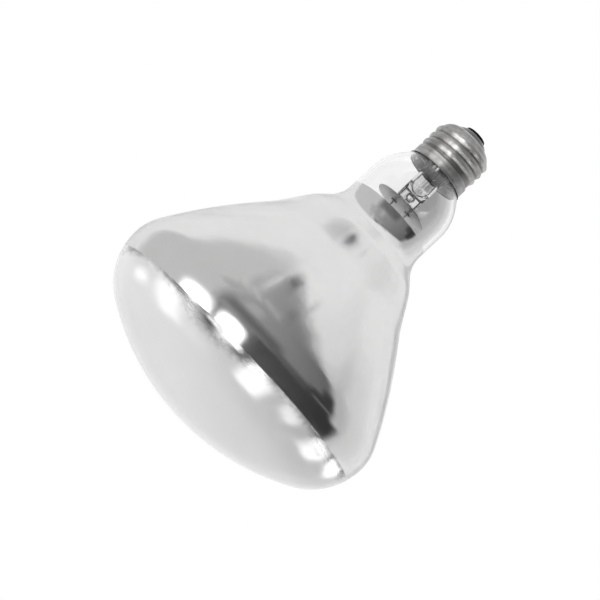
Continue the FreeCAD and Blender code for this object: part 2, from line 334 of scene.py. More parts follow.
def frostedGlass(edge):
    # the face: white frosting, slightly patchy; its edge, a little below the film's, is tilted and waves by
    # a cosine of the angle round the lamp, and above it the glass is clear
    material, f = newFinish("frosted_glass")
    patch = f.noise(55, 3.0)
    grain = f.noise(420, 3.0, 0.6)
    x, y = (f.node("SeparateXYZ", None, {0: f.coord()}, out=axis) for axis in "XY")
    angle = x.math("ARCTAN2", y * -1)
    wave, tilt = angle * frost["waves"] + np.radians(frost["shift"]), angle + np.radians(frost["tiltShift"])
    drop = edge - f.height() / mm + grain * frost["ragged"]
    drop = drop - wave.math("COSINE") * frost["swell"] - tilt.math("COSINE") * frost["tilt"]
    cover = drop.step(frost["bare"], frost["full"])
    clear = f.node("BsdfPrincipled", None, {"Base Color": grey(0.96), "Roughness": 0.02,
                                            "Transmission Weight": 1.0, "IOR": 1.5})
    white = f.node("BsdfPrincipled", None, {
        "Base Color": f.shade(grey(0.96), grey(0.91), patch), "Roughness": 0.1 + patch * 0.08,
        "Transmission Weight": frost["through"], "IOR": 1.5})
    f.finishWith(f.node("MixShader", None, {0: cover, 1: clear, 2: white}))
    return material


def mirrorFilm():
    # bright metal film on blown glass: gentle ripple, fine pebbling, grain and faint stains
    material, f = newFinish("mirror_film")
    ripple = f.noise(40, 2.0)
    pebble = f.noise(620, 2.0, 0.55)
    grain = f.noise(2400, 2.0, 0.6)
    stain = f.noise(85, 4.0, 0.6)
    height = ripple + pebble * 0.03 + grain * 0.008
    f.surface(Base_Color=f.shade(grey(0.79, 0.003), grey(0.735, 0.003), stain), Metallic=1.0,
              Roughness=0.05 + grain * 0.05 + stain * 0.03, Normal=f.bump(height, 0.15, 0.0012))
    return material


# where shade is painted on the shell, in metres: groove radii, thread levels and their softness, rim levels
paintedShadeBands = {
    "grooveR": (0.0123, 0.0126), "threadZ": (0.0038, 0.0142), "soft": 0.0003, "rimZ": (-0.0007, -0.0002),
}


def shellMetal():
    # rolled plated shell: fine lines round it, dull patches, random grime, painted shade in the thread
    # grooves and a painted shadow on the rim's lip
    material, f = newFinish("shell_metal")
    tall = f.node("Mapping", None, {"Vector": f.coord(), "Scale": (40, 40, 900)})
    lines = f.noise(1.0, 3.0, 0.6, tall)
    patch = f.noise(160, 4.0, 0.6)
    grime = f.noise(420, 3.0, 0.6).step(0.5, 0.8)
    flat = f.node("VectorMath", {"operation": "MULTIPLY"}, {0: f.coord(), 1: (1, 1, 0)})
    out = f.node("VectorMath", {"operation": "LENGTH"}, {0: flat}, out="Value")
    # painted shade: darker in the thread grooves
    grooveShade = (1 - out.step(*paintedShadeBands["grooveR"])) * f.height().band(*paintedShadeBands["threadZ"], paintedShadeBands["soft"])
    # painted shadow: the rim's lip at the bottom of the shell is dark
    edge = 1 - f.height().step(*paintedShadeBands["rimZ"])
    # random grime together with the painted groove shade and the painted rim shadow, all towards the dark
    # grey below
    grimeAndShade = (grime * 0.35 + grooveShade * 0.55).math("MAXIMUM", edge * 0.95)
    tone = f.shade(grey(0.54, 0.01), grey(0.31, 0.015), (patch * 0.5 + lines * 0.5).step(0.38, 0.62))
    f.surface(Base_Color=f.shade(tone, grey(0.1, 0.03), grimeAndShade), Metallic=1.0,
              Roughness=0.38 + patch * 0.1 + grime * 0.1, Anisotropic=0.85, Anisotropic_Rotation=0.25,
              Normal=f.bump(lines + patch, 0.4, 0.00025))
    return material


def blackGlass():
    # moulded black glass, glossy with flow marks
    material, f = newFinish("black_glass")
    flow = f.noise(210, 3.0, 0.6)
    pits = f.specks(1500, 0.1)
    f.surface(Base_Color=f.shade(grey(0.012), grey(0.035), flow), IOR=1.52,
              Roughness=0.1 + flow * 0.12 + pits * 0.3, Normal=f.bump(flow + pits * 0.1, 0.3, 0.0003))
    return material


def wireMetal(name, level, warm, rough):
    # drawn wire or small pressed metal: fine scratches and a dull bloom
    material, f = newFinish(name)
    bloom = f.noise(380, 3.0, 0.6)
    scratch = f.noise(3500, 2.0, 0.7)
    f.surface(Base_Color=f.shade(grey(level, warm), grey(level * 0.72, warm), bloom), Metallic=1.0,
              Roughness=rough + bloom * 0.14, Normal=f.bump(scratch, 0.2, 0.00005))
    return material


def veryDarkMetal(name, level, rough):
    # very dark dull metal, rubbed a little brighter in places
    material, f = newFinish(name)
    rub = f.noise(700, 3.0, 0.6).step(0.55, 0.8)
    pits = f.noise(2600, 2.0, 0.7)
    f.surface(Base_Color=f.shade(grey(level), grey(level * 3, 0.05), rub), Metallic=rub * 0.2,
              Roughness=rough + pits * 0.15, IOR=1.25, Normal=f.bump(pits, 0.3, 0.00005))
    return material


def bakedCement():
    # grainy baked cement
    material, f = newFinish("baked_cement")
    grain = f.noise(1800, 4.0, 0.65)
    f.surface(Base_Color=f.shade(grey(0.56, 0.08), grey(0.76, 0.07), grain),
              Roughness=0.8 + grain * 0.15, Normal=f.bump(grain, 0.5, 0.0002))
    return material


finish = {
    "clear": clearGlass("clear_glass", 0.972),
    "leaded": clearGlass("leaded_glass", 0.86),
    "mirror": mirrorFilm(),
    "shell": shellMetal(),
    "blackGlass": blackGlass(),
    "contact": veryDarkMetal("contact_metal", 0.006, 0.55),
    "solder": veryDarkMetal("dull_solder", 0.008, 0.6),
    "cement": bakedCement(),
    "lead": wireMetal("nickel_wire", 0.6, 0.02, 0.25),
    "seal": wireMetal("copper_coated_wire", 0.16, 0.3, 0.35),
    "shield": wireMetal("bright_sheet", 0.55, 0.0, 0.25),
    "support": wireMetal("grey_wire", 0.42, 0.0, 0.3),
    "tungsten": wireMetal("dull_tungsten", 0.22, 0.0, 0.45),
}
print("finishes made:", len(finish))


# glass envelope and its mirror film

bulb = {
    "diameter": 127.0, "wall": 1.1, "faceRise": 37.0, "frontRound": 27.3,
    "backRound": 20.0, "backAngle": 27.0, "flankAngle": 38.0, "waistRound": 60.0,
    "coneAngle": 30.9, "coneLength": 11.7, "coneBow": 1.7, "shoulderRound": 18.0,
    "neckAngle": 43.0, "leanLength": 4.5, "neckFillet": 14.0, "reflectorLength": 75.0,
    "neckDiameter": 39.2, "neckLength": 11.7, "neckEndRound": 20.0, "neckEndAngle": 36.0,
    "tailFillet": 3.0, "tailLength": 4.5, "tailDiameter": 23.0, "columns": 192,
}
film = {"pastRim": 6.9, "onNeck": 2.0, "thickness": 0.2, "lap": 0.05, "columns": 192}

bulb["crownZ"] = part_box("glass_envelope")[0].z / mm
bulb["widestZ"] = bulb["crownZ"] + bulb["faceRise"]
bulb["neckZ"] = bulb["widestZ"] + bulb["reflectorLength"]
finish["frosted"] = frostedGlass(bulb["widestZ"] - film["pastRim"])


def seamAngle(inset):
    # lean of the front arc where the film ends: minus arcsin of its height over the arc's radius
    return -np.degrees(np.arcsin(film["pastRim"] / (bulb["frontRound"] - inset)))


def addFlank(skin, inset):
    # from the widest ring: back arc, sweep, waist, slightly bowed cone, shoulder, fillet; the upper part
    # is drawn down from the neck
    b = bulb
    upper = Outline(b["neckDiameter"] / 2 - inset, b["neckZ"], 0)
    upper.bend(b["neckFillet"] + inset, b["neckAngle"], steps=14, hollow=True)
    upper.forward(-b["leanLength"], steps=2)
    ease = b["coneAngle"] + b["coneBow"]
    slow = b["coneLength"] / 2 / np.radians(b["coneBow"])
    upper.bend(b["shoulderRound"] - inset, ease, steps=5)
    upper.bend(slow - inset, b["coneAngle"], steps=4)
    upper.bend(slow + inset, ease, steps=4, hollow=True)
    upper.bend(b["waistRound"] + inset, b["flankAngle"], steps=6, hollow=True)
    skin.bend(b["backRound"] - inset, b["backAngle"], steps=10)
    skin.sweepTo(upper.place(), upper.angle, steps=26)
    return skin.add(upper.points()[-2::-1], 0)


def faceOutline(inset):
    # dome arc from the crown, then the tighter front arc as far as the film's edge
    b = bulb
    spread = b["diameter"] / 2 - b["frontRound"]
    rise = b["faceRise"]
    dome = (spread**2 + rise**2 - b["frontRound"]**2) / (2 * (rise - b["frontRound"]))
    meet = -np.degrees(np.arccos(spread / (dome - b["frontRound"])))
    skin = Outline(0, b["crownZ"] + inset, -90)
    skin.bend(dome - inset, meet, steps=30)
    return skin.bend(b["frontRound"] - inset, seamAngle(inset), steps=22)


def bulbOutline(inset):
    # the whole glass outline, this far inside its outer surface
    b = bulb
    skin = faceOutline(inset)
    faceRows = len(skin.points())
    skin.bend(b["frontRound"] - inset, 0, steps=8)
    addFlank(skin, inset)
    skin.forward(b["neckLength"], steps=5)
    end = np.radians(b["neckEndAngle"])
    top = b["neckDiameter"] / 2 - b["neckEndRound"] * (1 - np.cos(end))
    fall = b["tailFillet"] * (1 - np.cos(end))
    skin.bend(b["neckEndRound"] - inset, b["neckEndAngle"], steps=14)
    skin.forward((top - b["tailDiameter"] / 2 - fall) / np.sin(end), steps=4)
    skin.bend(b["tailFillet"] + inset, 0, steps=6, hollow=True)
    skin.forward(b["tailLength"], steps=2)
    return skin.points(), faceRows


def filmOutline(inset):
    # the glass outline from the film's edge by the face to its edge on the neck
    b = bulb
    angle = seamAngle(inset)
    centre = np.array([b["diameter"] / 2 - b["frontRound"], b["widestZ"]])
    start = centre - inward(angle) * (b["frontRound"] - inset)
    skin = Outline(start[0], start[1], angle)
    skin.bend(b["frontRound"] - inset, 0, steps=8)
    return addFlank(skin, inset).forward(film["onNeck"], steps=2).points()


def makeBulb():
    # the outer outline from crown to tail, then the inner one back to the crown; the face's rows are frosted
    outer, faceRows = bulbOutline(0)
    inner, _ = bulbOutline(bulb["wall"])
    outline = np.concatenate([outer, inner[::-1]])
    zones = np.zeros(len(outline), int)
    zones[:faceRows - 1] = 1
    piece = meshPiece("bulb_glass", turned(outline, bulb["columns"]), zones=zones)
    fitPiece(piece, "glass_envelope", [finish["clear"], finish["frosted"]])


def makeFilm():
    # a closed loop of outline, sunk a little into the glass
    outer = filmOutline(bulb["wall"] - film["lap"])
    inner = filmOutline(bulb["wall"] + film["thickness"])
    grid = turned(np.concatenate([outer, inner[::-1]]), film["columns"])
    fitPiece(meshPiece("mirror_coat", grid, loop=True), "reflector_coating", [finish["mirror"]])


makeBulb()
makeFilm()
print("glass and mirror film made")


# screw base

shell = {
    "major": 26.2, "depth": 0.8, "pitch": 25.4 / 7, "turns": 3.1, "startAngle": 20.0, "ridge": 2.4,
    "fade": 0.22, "fullness": 0.7, "reach": 1.78, "wall": 0.3, "relief": 0.2, "skirt": 3.7,
    "rimFlare": 0.5, "rimHeight": 0.8, "root": 9.9, "shoulder": 4.8, "mouth": 18.8, "columns": 160,
    "rimSteps": 7, "skirtSteps": 12, "threadFrom": 0.6,
}
plug = {
    "noseHeight": 2.8, "noseMargin": 0.4, "noseEdge": (0.5, 0.25), "coneLean": 62.0, "depth": 5.2,
    "recess": 3.0, "recessDiameter": 14.0, "columns": 96,
}
contact = {
    "diameter": 9.6, "height": 1.1, "round": 0.4, "wall": 0.3, "bore": 2.4, "depth": 2.0, "columns": 72,
    "solderDiameter": 6.2, "solderFlat": 3.6, "solderHeight": 0.3, "solderDepth": 1.0, "solderLean": 20.0,
    "solderColumns": 48,
}
shell["minorR"] = shell["major"] / 2 - shell["depth"]
shell["skirtR"] = shell["major"] / 2 - shell["relief"]
shell["rootZ"] = shell["skirt"] + shell["skirtR"] - shell["minorR"]
shell["shoulderZ"] = shell["rootZ"] + shell["root"]
shell["mouthZ"] = shell["shoulderZ"] + shell["shoulder"]
plug["noseZ"] = shell["mouthZ"] + plug["noseHeight"]
contact["topZ"] = plug["noseZ"] + contact["height"]


def shellArc(inset):
    # radius and lean of the arc from the root cylinder to the mouth
    fall = shell["minorR"] - shell["mouth"] / 2
    radius = (fall**2 + shell["shoulder"]**2) / (2 * fall)
    return radius - inset, 2 * np.degrees(np.arctan(fall / shell["shoulder"]))


def ridgeHeight(angle, z):
    # nearest turn of the helix at this angle, then a full-bodied cosine hump across it, fading at its ends
    s = shell
    turn = (angle - np.radians(s["startAngle"])) / (2 * np.pi)
    level = (z - s["skirt"] - s["ridge"] / 2) / s["pitch"]
    count = np.clip(np.round(level - turn), -np.floor(turn), np.inf)
    along = turn + count
    off = np.abs(level - along) * s["pitch"] / s["reach"]
    hump = (0.5 + 0.5 * np.cos(np.pi * np.clip(off, 0, 1)))**s["fullness"]
    ends = np.clip(along / s["fade"], 0, 1) * np.clip((s["turns"] - along) / s["fade"], 0, 1)
    return s["depth"] * hump * ends * ends * (3 - 2 * ends)


def shellSkin(inset):
    # rim flare, skirt, step, root cylinder and shoulder arc, close enough together for the thread
    s = shell
    radius, lean = shellArc(inset)
    rimR = s["skirtR"] + s["rimFlare"] - inset
    skin = Outline(rimR, -s["rimHeight"], 0)
    t = np.linspace(0, 1, s["rimSteps"])[1:, None]
    skin.add(np.concatenate([rimR - s["rimFlare"] * (1 - (1 - t)**2), -s["rimHeight"] * (1 - t)], 1))
    skin.add([[s["skirtR"] - inset, z] for z in np.linspace(0, s["skirt"], s["skirtSteps"])[1:]])
    step = (1 - np.cos(np.pi * t)) / 2
    drop = s["skirtR"] - s["minorR"]
    skin.add(np.concatenate([s["skirtR"] - inset - drop * step, s["skirt"] + drop * t], 1), 0)
    skin.forward(s["root"], steps=62).bend(radius, lean, steps=34)
    return skin.points()


def makeShell():
    # both skins turned round the axis, each point moved out by the ridge's height there
    t = np.linspace(0, 2 * np.pi, shell["columns"], endpoint=False)
    walls = []
    for inset in (0, shell["wall"]):
        skin = shellSkin(inset)
        grid = turned(skin, shell["columns"])
        bulge = ridgeHeight(t[None, :], skin[:, 1:]) * (skin[:, 1:] > shell["skirt"] * shell["threadFrom"])
        grid[..., 0] += bulge * np.cos(t)
        grid[..., 1] += bulge * np.sin(t)
        walls.append(grid)
    grid = np.concatenate([walls[0], walls[1][::-1]])
    fitPiece(meshPiece("thread_shell", grid, loop=True, crease=50), "screw_shell", [finish["shell"]])


def makePlug():
    # shoulder arc just inside the shell, a soft cone up to the nose, then the hole, recess and floor
    s, p, c = shell, plug, contact
    radius, lean = shellArc(s["wall"])
    skin = Outline(s["minorR"] - s["wall"], s["shoulderZ"], 0).bend(radius, lean, steps=14)
    noseR, (edgeR, edgeZ) = c["diameter"] / 2 + p["noseMargin"], p["noseEdge"]
    skin.sweepTo(np.array([noseR + edgeR, p["noseZ"] - edgeZ]), p["coneLean"], steps=10)
    skin.sweepTo(np.array([noseR, p["noseZ"]]), 90, steps=4)
    hole = c["bore"] / 2 + c["wall"]
    floorZ = s["mouthZ"] - p["depth"]
    recessZ = floorZ + p["recess"]
    skin.add([[hole, p["noseZ"]], [hole, recessZ], [p["recessDiameter"] / 2, recessZ],
              [p["recessDiameter"] / 2, floorZ], [s["minorR"] - s["wall"], floorZ]])
    grid = turned(skin.points(), p["columns"])
    fitPiece(meshPiece("glass_plug", grid, loop=True), "base_insulator", [finish["blackGlass"]])


def makeContact():
    # flange with a rounded edge on a barrel, and the solder cap that fills it
    c, p = contact, plug
    bore, barrel, wide = c["bore"] / 2, c["bore"] / 2 + c["wall"], c["diameter"] / 2
    skin = Outline(bore, p["noseZ"] - c["depth"], 0)
    skin.add([[barrel, p["noseZ"] - c["depth"]], [barrel, p["noseZ"]], [wide, p["noseZ"]]], 0)
    skin.forward(c["height"] - c["round"], steps=2).bend(c["round"], 90, steps=7).add([[bore, c["topZ"]]])
    grid = turned(skin.points(), c["columns"])
    fitPiece(meshPiece("contact_disc", grid, loop=True), "contact_eyelet", [finish["contact"]])

    lead = leads["outerDiameter"] / 2
    foot = p["noseZ"] - c["solderDepth"]
    rim, flat = c["solderDiameter"] / 2, c["solderFlat"] / 2
    tip = c["topZ"] + c["solderHeight"]
    cap = Outline(0, p["noseZ"], 0)
    cap.add([[lead, p["noseZ"]], [lead, foot], [bore, foot], [bore, c["topZ"]], [rim, c["topZ"]]],
            c["solderLean"])
    cap.sweepTo(np.array([flat, tip]), 90, steps=8).add([[0, tip]])
    grid = turned(cap.points(), c["solderColumns"])
    fitPiece(meshPiece("solder_cap", grid), "contact_solder", [finish["solder"]])


# stem, leads and filament mount

stem = {
    "diameter": 10.2, "wall": 0.9, "flareDepth": 2.8, "pressDepth": 16.7, "pressHeight": 3.6,
    "pressBlend": 3.2, "pressThickness": 4.4, "pressEdge": 1.2, "edgeRound": 0.5, "columns": 320,
    "holeBall": 2.05, "holeMouth": 1.15, "holeAbove": 2.25, "edgeSteps": 6, "climbSteps": 90,
    "wellSteps": 12,
}
exhaust = {"diameter": 2.4, "wall": 0.5, "height": 9.0, "columns": 32}
leads = {
    "spacing": 7.6, "innerDiameter": 0.9, "outerDiameter": 0.6, "outerClearance": 0.1,
    "sealDiameter": 0.5, "bend": 3.0, "sides": 14, "bendSteps": 9, "gap": 0.6, "sealSides": 10,
    "sealSteps": 5, "shellTurn": 1.5,
}
mount = {
    "belowPress": 2.85, "shieldThickness": 0.4, "barrelWall": 0.35, "flange": 0.7, "flangeHeight": 0.35,
    "beadBelow": 10.2, "beadDiameter": 3.2, "beadOverhang": 2.6, "bendBelowBead": 4.0,
    "supportDiameter": 0.5, "supportSpacing": 1.8, "beadRound": 0.6, "beadColumns": 32, "spoolColumns": 36,
}
coil = {
    "depth": 72.4, "ring": 22.0, "diameter": 1.8, "bend": 2.0, "gap": 0.15, "wire": 0.36, "pitch": 0.64,
    "stepsPerTurn": 14, "sides": 7, "bendSteps": 12, "corners": 5, "firstCorner": 210.0, "cornerStep": 60.0,
}
stem["r"] = stem["diameter"] / 2
stem["boreR"] = stem["r"] - stem["wall"]
stem["pressZ"] = -stem["pressDepth"] + stem["pressHeight"]
stem["wellZ"] = stem["pressZ"] + stem["pressBlend"] / 2
stem["roundZ"] = stem["wellZ"] + stem["boreR"]
stem["holeZ"] = -stem["pressDepth"] + stem["holeAbove"]
leads["outerX"] = stem["boreR"] - leads["outerDiameter"] / 2 - leads["outerClearance"]
leads["innerX"] = leads["spacing"] / 2
leads["edgeX"] = leads["outerX"] + leads["outerDiameter"] / 2
leads["sealZ"] = stem["roundZ"] - np.sqrt(stem["boreR"]**2 - leads["edgeX"]**2)
mount["shieldZ"] = -stem["pressDepth"] - mount["belowPress"]
mount["beadZ"] = mount["shieldZ"] - mount["beadBelow"]
mount["bendZ"] = mount["beadZ"] - mount["beadDiameter"] / 2 - mount["bendBelowBead"]


def flareOutline(inset):
    # arc from the tube out to the inside of the glass tail
    reach = bulb["tailDiameter"] / 2 - bulb["wall"] - stem["r"]
    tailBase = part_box("glass_envelope")[1].z / mm - bulb["tailLength"]
    rise = tailBase + bulb["tailLength"] / 2 + stem["flareDepth"]
    sweep = (reach**2 + rise**2) / (2 * reach)
    radius = sweep + inset
    lean = -np.degrees(np.arccos((sweep - reach) / radius))
    skin = Outline(stem["r"] - inset, -stem["flareDepth"], 0)
    return skin.bend(radius, lean, steps=14, hollow=True).points()


def makeStem():
    # up the outside from the middle of the press, over the flare's lip, down the bore to the round well;
    # the cross-section goes from a flat ellipse at the press to a circle, by a smooth step
    s = stem
    wideR, deepR = leads["innerX"] + s["pressEdge"], s["pressThickness"] / 2
    low, e = -s["pressDepth"], s["edgeRound"]
    t = np.linspace(0, np.pi / 2, s["edgeSteps"])
    press = np.stack([1 - e / deepR * (1 - np.sin(t)), low + e * (1 - np.cos(t))], -1)
    climb = np.linspace(low + e, s["pressZ"] + s["pressBlend"], s["climbSteps"])[1:]
    blend = np.clip((climb - s["pressZ"]) / s["pressBlend"], 0, 1)
    blend = blend * blend * (3 - 2 * blend)
    wide = np.concatenate([[0], wideR * press[:, 0], wideR + (s["r"] - wideR) * blend])
    deep = np.concatenate([[0], deepR * press[:, 0], deepR + (s["r"] - deepR) * blend])
    z = np.concatenate([[low], press[:, 1], climb])
    flare, bore = flareOutline(0), flareOutline(s["wall"])[::-1]
    turn = np.linspace(0, np.pi / 2, s["wellSteps"])[:, None]
    well = np.concatenate([s["boreR"] * np.cos(turn), s["roundZ"] - s["boreR"] * np.sin(turn)], 1)
    well[-1, 0] = 0
    rest = np.concatenate([flare, bore, well])
    wide, deep = np.concatenate([wide, rest[:, 0]]), np.concatenate([deep, rest[:, 0]])
    outline = np.stack([np.ones(len(wide)), np.concatenate([z, rest[:, 1]])], -1)
    grid = turned(outline, s["columns"], wide, deep)
    # the exhaust hole blown in the front, a ball that opens at a narrower mouth: the points inside the
    # mouth, at q of its radius, go to the angle q * widest from the ball's far side, out by its sine and in
    # by its cosine
    away = np.stack([grid[..., 0], grid[..., 2] - s["holeZ"]], -1)
    q = np.linalg.norm(away, axis=-1) / s["holeMouth"]
    inside = (q < 1) & (grid[..., 1] < 0)
    widest = np.pi - np.arcsin(s["holeMouth"] / s["holeBall"])
    reach = np.maximum(q, 1e-6) * s["holeMouth"]
    swell = np.where(inside, s["holeBall"] * np.sin(q * widest) / reach, 1)
    grid[..., 0] *= swell
    grid[..., 2] += away[..., 1] * (swell - 1)
    grid[..., 1] += np.where(inside, s["holeBall"] * (np.cos(q * widest) - np.cos(widest)), 0)
    fitPiece(meshPiece("stem_glass", grid, crease=60), "glass_stem", [finish["leaded"]])


def makeExhaust():
    # tube from the well with a rounded, closed tip
    r, wall = exhaust["diameter"] / 2, exhaust["wall"]
    foot = stem["roundZ"] - np.sqrt(stem["boreR"]**2 - r * r)
    tip = exhaust["height"] - r
    outer = Outline(r, foot, 0).forward(tip - foot, steps=4).bend(r, 90, steps=8).points()
    inner = Outline(r - wall, foot, 0).forward(tip - foot, steps=4).bend(r - wall, 90, steps=8).points()
    outer[-1, 0] = inner[-1, 0] = 0
    grid = turned(np.concatenate([inner[:1], outer, inner[::-1]]), exhaust["columns"])
    fitPiece(meshPiece("exhaust_glass", grid), "exhaust_tube", [finish["clear"]])


def makeWire(name, node, corners, diameter, look, flat=(0.0, 1.0, 0.0)):
    # a round wire along straight runs with rounded corners, all in the plane square to flat
    path = respaced(bentPath(corners, leads["bend"], leads["bendSteps"]), leads["gap"])
    grid = tubed(path, diameter / 2, leads["sides"], np.array(flat, float))
    fitPiece(meshPiece(name, grid, crease=60), node, [finish[look]])


def ringCorner(index):
    # corner of the six-sided ring, whose open side faces -Y
    a = np.radians(coil["firstCorner"] - coil["cornerStep"] * index)
    return np.array([np.cos(a), np.sin(a), 0]) * coil["ring"] / 2


def squareTo(a, b):
    # direction square to a vertical run and the run that follows it
    cross = np.cross([0, 0, -1], np.subtract(b, a))
    return cross / np.linalg.norm(cross)


def makeLeads():
    # seal wires slant through the press, inner leads drop from it and splay to the ring's open corners,
    # outer leads climb from it to the contact and to the inside of the shell
    for side, word, corner in ((-1, "left", 0), (1, "right", 4)):
        x = side * leads["innerX"]
        top, foot = [side * leads["outerX"], 0, leads["sealZ"]], [x, 0, -stem["pressDepth"]]
        path = np.linspace(top, foot, leads["sealSteps"])
        grid = tubed(path, leads["sealDiameter"] / 2, leads["sealSides"], np.array([0.0, 1.0, 0.0]))
        fitPiece(meshPiece("seal_" + word, grid, crease=60), "seal_wire_" + word, [finish["seal"]])
        bend = [x, 0, mount["bendZ"]]
        end = ringCorner(corner) + [0, 0, -coil["depth"]]
        makeWire("lead_" + word, "inner_lead_" + word, [foot, bend, end], leads["innerDiameter"], "lead",
                 squareTo(bend, end))

    x, s, p = leads["outerX"], shell, plug
    floorZ = s["mouthZ"] - p["depth"]
    corners = [[-x, 0, leads["sealZ"]], [-x, 0, exhaust["height"]], [0, 0, floorZ + p["recess"] / 2],
               [0, 0, p["noseZ"]]]
    makeWire("lead_to_contact", "centre_lead", corners, leads["outerDiameter"], "lead")
    height = s["skirt"] + s["ridge"] / 2 + s["pitch"] * (leads["shellTurn"] - s["startAngle"] / 360)
    wall = np.sqrt((s["minorR"] - s["wall"])**2 - (leads["outerDiameter"] / 2)**2)
    makeWire("lead_to_shell", "side_lead", [[x, 0, leads["sealZ"]], [x, 0, height], [wall, 0, height]],
             leads["outerDiameter"], "lead")


def makeMount():
    # support wires drop from the bead and splay to the ring's other corners
    m = mount
    for index, word in ((1, "left"), (2, "middle"), (3, "right")):
        x = (index - 2) * m["supportSpacing"]
        bend, end = [x, 0, m["bendZ"]], ringCorner(index) + [0, 0, -coil["depth"]]
        makeWire("support_" + word, "support_wire_" + word, [[x, 0, m["beadZ"]], bend, end],
                 m["supportDiameter"], "support", squareTo(bend, end))

    # glass rod across the leads, with fire-rounded ends, turned about X
    r, half = m["beadDiameter"] / 2, leads["spacing"] / 2 + m["beadOverhang"]
    soft = r * m["beadRound"]
    rod = Outline(0, -half, -90).forward(r - soft).bend(soft, 0, steps=7)
    rod.forward(2 * (half - soft), steps=8).bend(soft, 90, steps=7).add([[0, half]])
    grid = turned(rod.points(), m["beadColumns"])
    grid = np.stack([grid[..., 2], grid[..., 1], -grid[..., 0] + m["beadZ"]], -1)
    fitPiece(meshPiece("bead_glass", grid), "support_bead", [finish["clear"]])

    # spools that hold the shield, with rounded flange edges
    inner = leads["innerDiameter"] / 2
    barrel = inner + m["barrelWall"]
    wide, flat = barrel + m["flange"], m["shieldThickness"] / 2
    e = m["flangeHeight"] / 2
    for side, word in ((-1, "left"), (1, "right")):
        skin = Outline(inner, -flat - 2 * e, -90).forward(wide - inner - e, steps=2).bend(e, 90, steps=8)
        skin.add([[barrel, -flat], [barrel, flat], [wide - e, flat]], -90).bend(e, 90, steps=8)
        skin.add([[inner, flat + 2 * e]])
        grid = turned(skin.points(), m["spoolColumns"]) + [side * leads["innerX"], 0, m["shieldZ"]]
        fitPiece(meshPiece("spool_" + word, grid, loop=True), "shield_eyelet_" + word, [finish["lead"]])


def makeCoil():
    # wire wound round the ring's path: path + radius (across cos t + up sin t), t grows with the length
    z = -coil["depth"] - coil["diameter"] / 2 - coil["gap"]
    corners = [ringCorner(k) + [0, 0, z] for k in range(coil["corners"])]
    gap = coil["pitch"] / coil["stepsPerTurn"]
    path = respaced(bentPath(corners, coil["bend"], coil["bendSteps"]), gap)
    ahead = np.gradient(path, axis=0)
    ahead /= np.linalg.norm(ahead, axis=1, keepdims=True)
    up = np.array([0.0, 0.0, 1.0])
    t = (2 * np.pi / coil["stepsPerTurn"] * np.arange(len(path)))[:, None]
    out = np.cos(t) * np.cross(ahead, up) + np.sin(t) * up
    turns = path + out * (coil["diameter"] - coil["wire"]) / 2
    grid = tubed(turns, coil["wire"] / 2, coil["sides"], out)
    fitPiece(meshPiece("filament_coil", grid, crease=70), "filament", [finish["tungsten"]])


makeShell()
makePlug()
makeContact()
print("screw base made")
makeStem()
makeExhaust()
makeLeads()
makeMount()
makeCoil()
print("stem, leads and filament made")

for node, look in (("basing_cement", "cement"), ("heat_shield", "shield")):
    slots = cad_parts[node].data.materials
    for k in range(len(slots)):
        slots[k] = finish[look]


# studio: floor, room light, camera

studio = {
    "floorZ": -1700.0, "floorR": 3400.0, "floorGrey": 0.86, "floorCore": 20.0, "floorRings": 24,
    "floorColumns": 96, "apart": 5.0, "cardSteps": 24, "steepest": 89.0,
}
